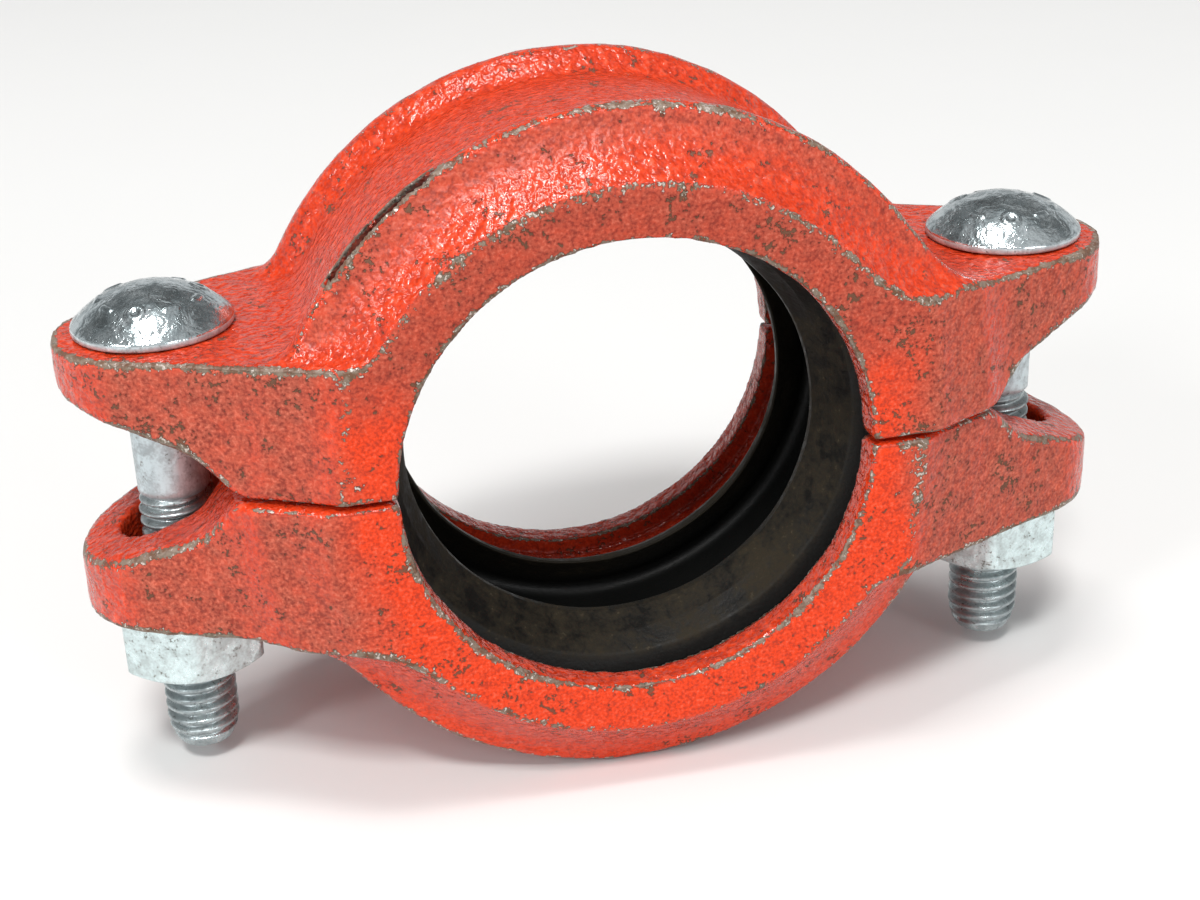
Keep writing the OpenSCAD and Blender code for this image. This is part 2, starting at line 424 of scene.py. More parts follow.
class TurnedSkin:
    """A closed skin of rings with the same number of points, wound round an axis."""

    def __init__(self, steps: int) -> None:
        """Starts an empty skin.

        Args:
            steps: the points in one ring.
        """
        self.steps = steps
        self.angles = np.arange(steps) * 2 * math.pi / steps
        self.rings: list[np.ndarray] = []

    def ring(self, radius: "float | np.ndarray", height: "float | np.ndarray") -> None:
        """Adds a ring.

        Args:
            radius: its distance from the axis, for all points or for each.
            height: its height along the axis, for all points or for each.
        """
        self.rings.append(np.stack([
            radius * np.cos(self.angles),
            radius * np.sin(self.angles),
            np.broadcast_to(np.asarray(height, float), self.angles.shape),
        ], axis=1))

    def mesh(self, name: str, turn: Matrix, looped: bool) -> bpy.types.Mesh:
        """Joins the rings into a closed mesh in metres.

        Args:
            name: the mesh's name.
            turn: what places the axis, in millimetres.
            looped: whether the last ring joins the first; if not, both ends close in a pole.

        Returns:
            The mesh, smooth, with its faces outwards.
        """
        points = np.concatenate(self.rings)
        count, steps = len(self.rings), self.steps
        faces = []
        for row in range(count if looped else count - 1):
            low, high = row * steps, (row + 1) % count * steps
            for step in range(steps):
                after = (step + 1) % steps
                faces.append((low + step, low + after, high + after, high + step))
        if not looped:
            poles = [self.rings[0].mean(axis=0), self.rings[-1].mean(axis=0)]
            points = np.concatenate([points, poles])
            for pole, start in ((count * steps, 0), (count * steps + 1, (count - 1) * steps)):
                faces += [(pole, start + step, start + (step + 1) % steps) for step in range(steps)]
        made = bpy.data.meshes.new(name)
        made.from_pydata([MM * (turn @ Vector(point)) for point in points], [], faces)
        work = bmesh.new()
        work.from_mesh(made)
        bmesh.ops.recalc_face_normals(work, faces=work.faces)
        for face in work.faces:
            face.smooth = True
        work.to_mesh(made)
        work.free()
        return made


def rounded_outline(corners: list[tuple[float, float, float]], steps: int = 6) -> list[tuple[float, float]]:
    """A closed outline with an arc at each corner.

    Args:
        corners: each corner's two coordinates and radius.
        steps: the straight steps in an arc.

    Returns:
        The outline's points.
    """
    outline = []
    for index, (across, along, radius) in enumerate(corners):
        here = Vector((across, along))
        before = (Vector(corners[index - 1][:2]) - here).normalized()
        after = (Vector(corners[(index + 1) % len(corners)][:2]) - here).normalized()
        if radius == 0:
            outline.append((here.x, here.y))
            continue
        half = before.angle(after) / 2
        centre = here + (before + after).normalized() * (radius / math.sin(half))
        start = here + before * (radius / math.tan(half)) - centre
        end = here + after * (radius / math.tan(half)) - centre
        turn = math.atan2(start.x * end.y - start.y * end.x, start.dot(end))
        for step in range(steps + 1):
            angle = turn * step / steps
            cos, sin = math.cos(angle), math.sin(angle)
            outline.append((centre.x + start.x * cos - start.y * sin,
                            centre.y + start.x * sin + start.y * cos))
    return outline


def smooth_step(value: np.ndarray, low: float, high: float) -> np.ndarray:
    """A smooth step from 0 at low to 1 at high."""
    share = np.clip((value - low) / (high - low), 0.0, 1.0)
    return share * share * (3.0 - 2.0 * share)


def keep_edges(mesh: bpy.types.Mesh, reach: int) -> None:
    """Keeps on each point of a mesh how far it stands out of its surroundings.

    Args:
        mesh: the mesh, in metres.
        reach: how many times the surroundings are averaged.
    """
    count = len(mesh.vertices)
    flat, normal = np.empty(count * 3), np.empty(count * 3)
    mesh.vertices.foreach_get("co", flat)
    mesh.vertices.foreach_get("normal", normal)
    pairs = np.empty(len(mesh.edges) * 2, dtype=np.int64)
    mesh.edges.foreach_get("vertices", pairs)
    points, normal, pairs = flat.reshape(-1, 3), normal.reshape(-1, 3), pairs.reshape(-1, 2)
    share = np.bincount(pairs.ravel(), minlength=count)[:, None] + 1.0
    calm = points.copy()
    for _ in range(reach):
        total = calm.copy()
        for axis in range(3):
            total[:, axis] += np.bincount(pairs[:, 0], calm[pairs[:, 1], axis], count)
            total[:, axis] += np.bincount(pairs[:, 1], calm[pairs[:, 0], axis], count)
        calm = total / share
    bulge = ((points - calm) * normal).sum(axis=1) / MM
    mesh.attributes.new("edge", "FLOAT", "POINT").data.foreach_set("value", bulge)


# ---------------------------------------------------------------- sizes


@dataclass(frozen=True)
class Sizes:
    """The coupling's main sizes in millimetres, as the frame states them."""

    half_w: float
    crest_r: float
    pad_end_x: float
    key_r: float
    bolt_x: float
    gasket_half_w: float
    gasket_r: float
    bolt_end: float
    head_top: float
    head_r: float
    nut_top: float
    nut_bottom: float
    head_h: float = 5.6

    @property
    def upper_seat(self) -> float:
        """The height of the upper pads, where the bolt heads sit."""
        return self.head_top - self.head_h

    @property
    def lower_seat(self) -> float:
        """The depth of the lower pads, where the nuts sit, as a positive length."""
        return -self.nut_top

    @classmethod
    def from_frame(cls) -> "Sizes":
        """Reads the sizes from the CAD nodes' boxes, the joints and the mounts.

        Returns:
            The sizes.
        """
        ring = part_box("upper_housing")[1] / MM
        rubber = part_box("gasket")[1] / MM
        bolt_low, bolt_high = (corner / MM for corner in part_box("right_bolt"))
        nut_low, nut_high = (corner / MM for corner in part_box("right_nut"))
        joints = {joint["name"]: joint for joint in frame["joints"]}
        mounts = {mount["name"]: mount for mount in frame["record"]["mounts"]}
        return cls(
            half_w=ring.y, crest_r=ring.z, pad_end_x=ring.x,
            key_r=mounts["front_key"]["dims"]["r_mm"],
            bolt_x=joints["right_nut_turn"]["pos_m"][0] / MM,
            gasket_half_w=rubber.y, gasket_r=rubber.x,
            bolt_end=bolt_low.z, head_top=bolt_high.z, head_r=bolt_high.y,
            nut_top=nut_high.z, nut_bottom=nut_low.z,
        )


SIZES = Sizes.from_frame()


# ---------------------------------------------------------------- finishes


@dataclass(frozen=True)
class CastEnamel:
    """Orange-red enamel over rough iron, chalky on the flats and worn through on the edges."""

    bright: Colour = (0.70, 0.046, 0.007)
    chalky: Colour = (0.38, 0.080, 0.047)
    # Pale dust, also used as a painted highlight on the sand lumps.
    dust_and_highlight: Colour = (0.74, 0.20, 0.125)
    # Dark red for the specks, also the painted shade in creases, bores, between lumps and on the upper
    # flats.
    deep: Colour = (0.17, 0.012, 0.008)
    rust: Colour = (0.105, 0.066, 0.038)
    iron: Colour = (0.19, 0.16, 0.12)
    # Pale iron for the glints, partly bright metal and partly a painted highlight.
    iron_and_painted_glint: Colour = (0.62, 0.55, 0.50)
    # Near black for the cold lap: bare where the paint missed, and painted shade in the narrow gap.
    lap_dark_and_shade: Colour = (0.010, 0.008, 0.007)

    def make(self) -> bpy.types.Material:
        """Builds the material.

        Returns:
            The material.
        """
        tree = ShaderTree("enamelled_iron")
        x, y, z = tree.split(tree.place, 1 / MM)
        edge, face, slit = (tree.attribute(name) for name in ("edge", "face", "slit"))
        # Blotches from a sand grain's size to a third of the ring's width.
        fine, mid = tree.grains(0.42, 1.0, 3.0), tree.grains(1.1, 2.0, 3.0)
        grit = tree.grains(0.95, 5.0, 1.0, 0.4)
        patch, drift = tree.grains(4.5, 3.0, 4.0, 0.6), tree.grains(17.0, 4.0, 2.0)

        # Chalk lies on the flat faces, towards the pads and on the upper casting.
        flat = face.step(0.72, 0.96)
        outer = (abs(x) + (drift - 0.5) * 14.0).step(31.0, 39.0)
        upper = (z + (drift - 0.5) * 30.0).step(2.0, 16.0) * 0.80
        chalk = flat * outer.above(upper) + (mid - 0.5) * 0.7 + (patch - 0.5) * 0.8
        chalk = chalk.above(0.0).below(1.0)

        # Specks, pale spots and pits follow the grains.
        speck = (fine * 0.65 + mid * 0.35).step(0.47, 0.60)
        pale = (fine * 0.7 + mid * 0.3).step(0.47, 0.36)
        pit = (patch * 0.40 + mid * 0.33 + fine * 0.27 + flat * 0.014).step(0.578, 0.604)

        # Edges lose their enamel, and so do the flats where the pads leave the ring. The bores, the
        # parting and the bolt holes are sheltered.
        radius = (x * x + z * z).sqrt()
        off_hole = abs(x) - SIZES.bolt_x
        inside = radius.step(32.6, 31.0) * abs(y).step(20.6, 18.6)
        near_hole = (off_hole * off_hole + y * y).sqrt().step(9.8, 8.2) * abs(z).step(15.0, 13.0)
        sheltered = radius.step(33.0, 30.5) * 0.11 + abs(z).step(3.2, 1.2) * 0.15 + near_hole * 0.30
        kink = (abs(abs(x) - 33.8 + (patch - 0.5) * 9.0) * -1.0).step(-3.6, -0.4) * flat
        kink = kink * (x * z).step(60.0, -60.0) * 0.12
        torn = (fine - 0.5) * 0.42 + (mid - 0.5) * 0.40 + (patch - 0.5) * 0.34 + (drift - 0.5) * 0.26
        wear = (edge + torn + kink - sheltered).step(0.232, 0.275)
        crease_shade = (-edge + (mid - 0.5) * 0.25).step(0.10, 0.42)

        # Bare-iron glints, partly bright metal and partly a painted highlight; sand lumps under the enamel
        # with painted highlights and painted shade.
        spark = (fine * 0.66 + mid * 0.20 + drift * 0.14).step(0.565, 0.61)
        lump = (grit * 0.62 + fine * 0.38).step(0.44, 0.60)
        raised = (grit * 0.7 + fine * 0.3).step(0.56, 0.66) * (1.0 - flat)

        colour = tree.blend(chalk, self.bright, self.chalky)
        colour = tree.blend(pale * (0.30 + chalk * 0.12), colour, self.dust_and_highlight)
        colour = tree.blend(speck * (0.44 + chalk * 0.22), colour, self.deep)
        # Painted shade in the hollows between the sand lumps on the curved surfaces.
        colour = tree.blend((1.0 - lump) * (1.0 - flat) * 0.30, colour, self.deep)
        # Painted highlight on the tops of the sand lumps.
        colour = tree.blend(raised * 0.24, colour, self.dust_and_highlight)
        # Painted shade in the creases.
        colour = tree.blend(crease_shade * 0.30, colour, self.deep)
        # Painted shade inside the bores and on the shoulders.
        colour = tree.blend(inside * 0.55, colour, self.deep)
        # Painted shade: the upper casting's flat faces away from the pads are darker.
        colour = tree.blend(flat * upper * (1.0 - outer) * 0.22, colour, self.deep)
        colour = tree.blend(pit * 0.80, colour, self.rust)
        # Bare iron: rust and iron, with pale glint spots that are partly bright metal and partly a painted
        # highlight.
        metal = tree.blend(spark, tree.blend(mid.step(0.42, 0.58), self.rust, self.iron), self.iron_and_painted_glint)
        colour = tree.blend(wear * 0.94, colour, metal)
        # The cold lap: dark where the paint missed, with painted shade in the gap.
        colour = tree.blend(slit, colour, self.lap_dark_and_shade)
        rough = 0.19 + chalk * 0.22 + flat * 0.14 + pit * 0.25 + (fine - 0.5) * 0.20
        rough = rough + wear * (0.25 - spark * 0.20)
        height = grit * 0.95 + mid * 0.34 + fine * 0.09 + patch * 0.9 - pit * 0.5 - wear * 0.4
        tree.bump(height * (1.0 - flat * 0.35), 0.46)
        tree.set(base_color=colour, roughness=rough.above(0.16).below(0.85), metallic=wear * spark * 0.5,
                 specular_ior_level=0.58 - flat * 0.38)
        return tree.material


@dataclass(frozen=True)
class DustyRubber:
    """Black moulded rubber with a film of olive dust on what faces the pipe."""

    black: Colour = (0.0055, 0.0058, 0.0055)
    dust: Colour = (0.027, 0.021, 0.012)
    scuff: Colour = (0.075, 0.062, 0.042)

    def make(self) -> bpy.types.Material:
        """Builds the material.

        Returns:
            The material.
        """
        tree = ShaderTree("gasket_rubber")
        x, y, z = tree.split(tree.place, 1 / MM)
        edge = tree.attribute("edge")
        radius = (x * x + z * z).sqrt()
        fine, mid = tree.grains(0.5, 11.0, 3.0), tree.grains(2.2, 12.0, 3.0, 0.8)
        drift = tree.grains(14.0, 13.0, 3.0, 0.5)
        lip = radius.step(31.2, 29.6) * abs(y).step(5.6, 7.2)
        film = lip * ((drift - 0.5) * 3.2 + (mid - 0.5) * 2.2 + (fine - 0.5) * 1.2 + 0.38)
        film = film.above(0.0).below(1.0)
        inside = radius.step(33.5, 27.5) * (y.step(2.0, 6.0) * 0.50 + 0.10) * (drift + 0.4)
        colour = tree.blend(film.above(inside), self.black, self.dust)
        rub = (edge + (mid - 0.5) * 0.5 + (fine - 0.5) * 0.3).step(0.25, 0.62)
        colour = tree.blend(rub * 0.75, colour, self.scuff)
        scratch = (mid * 0.5 + fine * 0.5).step(0.60, 0.68) * lip
        colour = tree.blend(scratch * 0.5, colour, self.scuff)
        tree.bump(fine * 0.5 + mid * 0.6, 0.10)
        rough = 0.46 + film * 0.30 + (mid - 0.5) * 0.22
        tree.set(base_color=colour, roughness=rough.above(0.2), specular_ior_level=0.22)
        return tree.material


@dataclass(frozen=True)
class ZincPlate:
    """Zinc plating on steel, from mirror bright to satin, with stains and small dents."""

    name: str
    light: Colour
    dull: Colour
    # Stains, also used as the painted shade in the hollows.
    stain_and_shade: Colour
    gloss: float
    unevenness: float
    seed: float
    metal: float
    dents: float

    def make(self) -> bpy.types.Material:
        """Builds the material.

        Returns:
            The material.
        """
        tree = ShaderTree(self.name)
        edge = tree.attribute("edge")
        fine, mid = tree.grains(0.32, self.seed, 3.0), tree.grains(1.3, self.seed + 1.0, 3.0, 1.2)
        wave = tree.grains(3.6, self.seed + 2.0, 2.0, 1.5)
        cloud = (wave * 0.6 + mid * 0.4 + (fine - 0.5) * 0.3).step(0.36, 0.62)
        spot = (mid * 0.6 + fine * 0.4).step(0.57, 0.66)
        colour = tree.blend(cloud, self.light, self.dull)
        colour = tree.blend(spot * 0.7, colour, self.stain_and_shade)
        # Painted shade in the hollows, where the surface is concave.
        hollow_shade = (-edge + (mid - 0.5) * 0.3).step(0.10, 0.45)
        colour = tree.blend(hollow_shade * 0.6, colour, self.stain_and_shade)
        rough = self.gloss + cloud * self.unevenness + spot * 0.18 + (fine - 0.5) * self.unevenness
        tree.bump(wave * 0.9 + mid * 0.5 + fine * 0.12 - spot * 0.15, self.dents)
        tree.set(base_color=colour, roughness=rough.above(0.04), metallic=self.metal)
        return tree.material

    def shared(self) -> bpy.types.Material:
        """The material, built once for all the pieces that share it."""
        return bpy.data.materials.get(self.name) or self.make()


HEAD_ZINC = ZincPlate(
    "bolt_head_zinc", light=(0.82, 0.90, 0.92), dull=(0.44, 0.51, 0.53), stain_and_shade=(0.09, 0.10, 0.10),
    gloss=0.06, unevenness=0.14, seed=21.0, metal=0.96, dents=0.20,
)
SHANK_ZINC = ZincPlate(
    "bolt_shank_zinc", light=(0.62, 0.72, 0.75), dull=(0.40, 0.46, 0.48), stain_and_shade=(0.16, 0.15, 0.13),
    gloss=0.32, unevenness=0.14, seed=31.0, metal=0.45, dents=0.10,
)
THREAD_ZINC = ZincPlate(
    "thread_zinc", light=(0.46, 0.52, 0.53), dull=(0.29, 0.33, 0.34), stain_and_shade=(0.10, 0.10, 0.09),
    gloss=0.26, unevenness=0.16, seed=41.0, metal=0.80, dents=0.07,
)
NUT_ZINC = ZincPlate(
    "hex_nut_zinc", light=(0.72, 0.85, 0.86), dull=(0.52, 0.60, 0.60), stain_and_shade=(0.13, 0.11, 0.08),
    gloss=0.28, unevenness=0.18, seed=51.0, metal=0.84, dents=0.16,
)


# ---------------------------------------------------------------- housings


@dataclass(frozen=True)
class ColdLap:
    """A narrow cold lap behind the front crest, where the iron didn't quite close."""

    start: tuple[float, float] = (-38.0, -34.0)
    end: tuple[float, float] = (-23.0, -17.0)
    half_w: float = 0.62
    shut: float = 2.0
    depth: float = 0.9
    setback: float = 1.1
    depth_share: float = 0.35
    grain: float = 3.0
    raggedness: float = 1.3
    seed: float = 3.0

    def distance(self, x: Flow, y: Flow, radius: Flow, wall_y: float) -> Flow:
        """The distance to the lap, negative inside it, in millimetres.

        Args:
            x: the place across the ring.
            y: the place along the pipe.
            radius: the distance from the pipe's axis.
            wall_y: half the width between the crests.

        Returns:
            The distance.
        """
        deep, back = radius - SIZES.crest_r + self.depth, y + wall_y + self.setback
        track = (deep * deep * self.depth_share + back * back).sqrt()
        place = x.maker.join(x * MM, y * MM, radius * MM)
        ragged = x.maker.noise(place, self.grain, 2.0, self.seed) - 0.5
        opening = x.step(*self.start, self.shut, -self.half_w)
        closing = x.step(*self.end, -self.half_w, self.shut)
        return track + opening.above(closing) + ragged * self.raggedness


@dataclass
class HousingCasting:
    """One rough iron housing: half a ring with a bolt pad at each end."""

    half: Half
    pad_h: float
    # The ring: key bores at both faces, hollow flanks, and two crests with a valley between them.
    key_bevel: float = 0.8
    key_w: float = 4.4
    face_land: float = 5.8
    face_round: float = 0.7
    flank_run: float = 6.0
    flank_hollow: float = 0.8
    crest_land: float = 2.4
    crest_round: float = 1.3
    valley_depth: float = 2.6
    valley_foot: float = 4.2
    valley_brow: float = 0.6
    # The void inside it.
    shoulder_relief: float = 2.6
    shoulder_round: float = 0.8
    pocket_r: float = 37.6
    pocket_half_w: float = 14.9
    pocket_round: float = 1.5
    bore_round: float = 1.0
    # The pads, their undersides and their holes.
    pad_end_r: float = 12.6
    pad_root: float = 2.0
    pad_side_round: float = 1.5
    pad_top_round: float = 0.9
    parting_len: float = 18.4
    parting_round: float = 1.4
    gap: float = 0.3
    relief_knee: float = 5.4
    relief_slope: float = 0.374
    relief_round: float = 1.2
    hole_len: float = 14.0
    hole_w: float = 11.2
    hole_round: float = 0.9
    tight_cove: float = 4.5
    wide_cove: float = 11.0
    cove_change: float = 12.0
    # The cast skin.
    wave_height: float = 0.42
    wave_grain: float = 9.0
    grain_height: float = 0.30
    grain_size: float = 1.9
    skin_depth: float = 0.15
    lap_round: float = 0.3
    lap: ColdLap = ColdLap()
    seed: float = 3.0
    # How finely it is cast.
    voxel: float = 0.51
    margin: float = 1.5
    solid_level: float = 10.0
    edge_reach: int = 14

    def __post_init__(self) -> None:
        """Names the casting and finds where its flats end."""
        self.name = self.half.name.lower() + "_casting"
        self.face_r = SIZES.key_r + self.key_bevel + self.face_land
        self.wall_y = SIZES.half_w - self.flank_run - self.crest_land

    def shape(self, tree: GeometryTree) -> Flow:
        """The casting as a distance field: negative inside the iron, in millimetres.

        Args:
            tree: the tree to build in.

        Returns:
            The distance to the casting's skin.
        """
        x, y, z = tree.split(tree.place(), 1 / MM)
        x, z = x * tree.size("Half"), z * tree.size("Half")
        across, along = abs(x), abs(y)
        radius = (x * x + z * z).sqrt()
        body = self.ring(radius, along).below(self.pad(tree, across, along, z), self.cove(x))
        body = body.above(along - tree.size("Half width"), self.face_round)
        body = body.above(self.gap / 2 - z, self.parting_round)
        body = body.above(-self.hollow(radius, along), self.bore_round)
        body = body.above(-self.bolt_hole(across, y), self.hole_round)
        if self.half is Half.UPPER:
            body = body.above(-self.lap.distance(x, y, radius, self.wall_y), self.lap_round)
        return body + self.cast_skin(tree)

    def ring(self, radius: Flow, along: Flow) -> Flow:
        """The outside of the ring, with a hollow flank and a valley between two crests.

        Args:
            radius: the distance from the pipe's axis.
            along: the distance along it from the middle.

        Returns:
            The distance to it.
        """
        rise = SIZES.crest_r - self.face_r
        slant = math.hypot(rise, self.flank_run)
        middle_r, middle_y = self.face_r + rise / 2, SIZES.half_w - self.flank_run / 2
        out = (radius - middle_r) * (self.flank_run / slant) + (along - middle_y) * (rise / slant)
        up = (radius - middle_r) * (rise / slant) - (along - middle_y) * (self.flank_run / slant)
        ratio = up / (slant / 2)
        hollow = (1.0 - ratio * ratio).above(0.0) * self.flank_hollow
        foot, brow = self.wall_y - self.valley_foot, self.wall_y + self.valley_brow
        valley = along.step(foot, brow, -self.valley_depth, 0.0)
        return (out + hollow).above(radius - SIZES.crest_r - valley, self.crest_round)

    def pad(self, tree: GeometryTree, across: Flow, along: Flow, z: Flow) -> Flow:
        """A bolt pad: tapered and round-ended in plan, relieved towards the parting plane.

        Args:
            tree: the tree to build in.
            across: the distance across the ring from the middle.
            along: the distance along the pipe from the middle.
            z: the height above the parting plane.

        Returns:
            The distance to it.
        """
        root_x = self.face_r - self.pad_root
        reach_x = SIZES.bolt_x - root_x
        lean = math.asin(self.pad_end_r / math.hypot(reach_x, SIZES.half_w))
        lean += math.atan2(-SIZES.half_w, reach_x)
        taper = (across - root_x) * -math.sin(lean) + (along - SIZES.half_w) * math.cos(lean)
        off = across - SIZES.bolt_x
        end = (off * off + along * along).sqrt() - self.pad_end_r
        beyond = off * math.cos(lean) + along * math.sin(lean)
        plan = taper.above(beyond.below(end))
        foot = SIZES.key_r + self.parting_len
        steep = (across - foot - z) * math.sqrt(0.5)
        knee_x = foot + self.relief_knee
        gentle = (across - knee_x) * self.relief_slope + self.relief_knee - z
        gentle = gentle / math.hypot(1.0, self.relief_slope)
        relieved = plan.above(steep.below(gentle, self.relief_round), self.pad_side_round)
        return relieved.above(z - tree.size("Pad height"), self.pad_top_round)

    def cove(self, x: Flow) -> Flow:
        """How softly the pads run into the ring: tight at one end, wide at the other."""
        return x.step(-self.cove_change, self.cove_change, self.tight_cove, self.wide_cove)

    def hollow(self, radius: Flow, along: Flow) -> Flow:
        """The void inside the ring: key bores, shoulders and gasket pocket.

        Args:
            radius: the distance from the pipe's axis.
            along: the distance along it from the middle.

        Returns:
            The distance to it.
        """
        shoulder = radius - SIZES.key_r - self.shoulder_relief
        shoulder = shoulder.above(along - (SIZES.half_w - self.key_w), self.shoulder_round)
        pocket = (radius - self.pocket_r).above(along - self.pocket_half_w, self.pocket_round)
        return (radius - SIZES.key_r).below(shoulder).below(pocket)

    def bolt_hole(self, across: Flow, y: Flow) -> Flow:
        """The oval bolt hole through each pad.

        Args:
            across: the distance across the ring from the middle.
            y: the place along the pipe.

        Returns:
            The distance to it.
        """
        run = (self.hole_len - self.hole_w) / 2
        past = (abs(across - SIZES.bolt_x) - run).above(0.0)
        return (past * past + y * y).sqrt() - self.hole_w / 2

    def cast_skin(self, tree: GeometryTree) -> Flow:
        """The waves and grains of a sand casting.

        Args:
            tree: the tree to build in.

        Returns:
            What they add to the distance.
        """
        place = tree.place()
        seed = self.seed + self.half.value
        wave = tree.noise(place, self.wave_grain, 2.0, seed) - 0.5
        grain = tree.noise(place, self.grain_size, 2.0, seed + 7.0) - 0.5
        return wave * tree.size("Wave height") + grain * tree.size("Grain height") + self.skin_depth

    def wear(self, tree: GeometryTree, geometry: bpy.types.NodeSocket) -> bpy.types.NodeSocket:
        """Keeps on the skin how sharp each edge is, which way it faces and where the lap runs.

        Args:
            tree: the tree to build in.
            geometry: the skin.

        Returns:
            The skin with its attributes.
        """
        place, normal = tree.place(), tree.node("GeometryNodeInputNormal").outputs[0]
        calm = tree.node("GeometryNodeBlurAttribute", {"Value": place, "Iterations": self.edge_reach},
                         data_type="FLOAT_VECTOR")
        away = tree.vector_math("SUBTRACT", place, calm.outputs["Value"]).outputs[0]
        bulge = Flow(tree, tree.vector_math("DOT_PRODUCT", away, normal).outputs["Value"]) * (1 / MM)
        x, y, z = tree.split(place, 1 / MM)
        _, facing, _ = tree.split(normal)
        radius = (x * x + z * z).sqrt()
        slit = radius * 0.0
        if self.half is Half.UPPER:
            slit = self.lap.distance(x, y, radius, self.wall_y).step(0.6, -0.1)
        geometry = tree.store(geometry, "edge", bulge)
        geometry = tree.store(geometry, "face", abs(facing))
        return tree.store(geometry, "slit", slit)

    def build(self, material: bpy.types.Material) -> bpy.types.Object:
        """Makes the casting's mesh.

        Args:
            material: the finish to set.

        Returns:
            The finished object.
        """
        tree = GeometryTree(self.name, {
            "Half": float(self.half.value),
            "Half width": SIZES.half_w,
            "Pad height": self.pad_h,
            "Wave height": self.wave_height,
            "Grain height": self.grain_height,
        })
        reach = Vector((SIZES.pad_end_x, SIZES.half_w, SIZES.crest_r))
        high = reach + Vector((self.margin, self.margin, self.margin))
        low = Vector((-high.x, -high.y, -self.margin))
        if self.half is Half.LOWER:
            low.z, high.z = -high.z, -low.z
        cube = tree.node("GeometryNodeVolumeCube", {
            "Density": self.solid_level - self.shape(tree), "Min": low * MM, "Max": high * MM,
        })
        for axis, span in zip("XYZ", high - low):
            tree.plug(cube, "Resolution " + axis, int(span / self.voxel) + 1)
        skin = tree.node("GeometryNodeVolumeToMesh", {
            "Volume": cube.outputs["Volume"], "Threshold": self.solid_level,
        })
        tree.finish(self.wear(tree, skin.outputs["Mesh"]), material)
        return tree.run(self.name)

    def dress(self, material: bpy.types.Material) -> None:
        """Builds the casting and settles it in place of its CAD node."""
        settle(self.build(material), self.half.name.lower() + "_housing")


# ---------------------------------------------------------------- gasket


@dataclass
class Gasket:
    """The C-section rubber ring, whose two lips lean in to each other."""

    wall: float = 3.2
    lip_r: float = 26.6
    lip_y: float = 6.6
    lip_tip: float = 1.1
    shoulder_r: float = 31.6
    heel_r: float = 29.9
    heel_inset: float = 0.9
    bead: float = 0.22
    long_sag: float = 0.05
    short_sag: float = 0.035
    firm_back: float = 4.0
    sag_run: float = 3.0
    row_gap: float = 0.9
    steps: int = 288

    def outline(self) -> list[tuple[float, float]]:
        """The section, with moulded beads on the lips.

        Returns:
            Its points, as radius and distance along the pipe.
        """
        half_w, outer_r = SIZES.gasket_half_w, SIZES.gasket_r
        inner_y, inner_r = half_w - self.wall, outer_r - self.wall
        half = [
            (inner_r, inner_y, 1.5),
            (self.shoulder_r + 0.6, inner_y, 0.8),
            (self.lip_r + 1.5 * self.lip_tip, self.lip_y + 1.4, 0.3),
            (self.lip_r + self.bead, self.lip_y - 0.05, 0.25),
            (self.lip_r, self.lip_y + 0.15, 0.2),
            (self.lip_r + 0.02, self.lip_y + self.lip_tip, 0.5),
            (self.lip_r + 1.55, self.lip_y + 4.2, 2.5),
            (self.heel_r, half_w - self.heel_inset, 0.9),
            (self.shoulder_r + 0.6, half_w, 0.6),
            (outer_r, half_w, 1.8),
        ]
        whole = half + [(radius, -along, rounding) for radius, along, rounding in reversed(half)]
        return rounded_outline(whole)

    def build(self, material: bpy.types.Material) -> bpy.types.Object:
        """Makes the gasket's mesh.

        Args:
            material: the finish to set.

        Returns:
            The finished object.
        """
        skin = TurnedSkin(self.steps)
        corners = self.outline()
        for index, (radius, along) in enumerate(corners):
            next_radius, next_along = corners[(index + 1) % len(corners)]
            gap = math.hypot(next_radius - radius, next_along - along)
            parts = max(1, round(gap / self.row_gap))
            sag = self.long_sag * np.sin(3 * skin.angles + along)
            sag = sag + self.short_sag * np.sin(11 * skin.angles + 1.7 * along)
            for part in range(parts):
                share = part / parts
                here = radius + (next_radius - radius) * share
                free = np.clip((SIZES.gasket_r - self.firm_back - here) / self.sag_run, 0.0, 1.0)
                skin.ring(here + sag * free, along + (next_along - along) * share)
        mesh = skin.mesh("gasket_ring", Matrix.Rotation(-math.pi / 2, 4, "X"), looped=True)
        mesh.materials.append(material)
        keep_edges(mesh, 6)
        return placed("gasket_ring", mesh)

    def dress(self, material: bpy.types.Material) -> None:
        """Builds the gasket and settles it in place of its CAD node."""
        settle(self.build(material), "gasket")


# ---------------------------------------------------------------- bolts and nuts


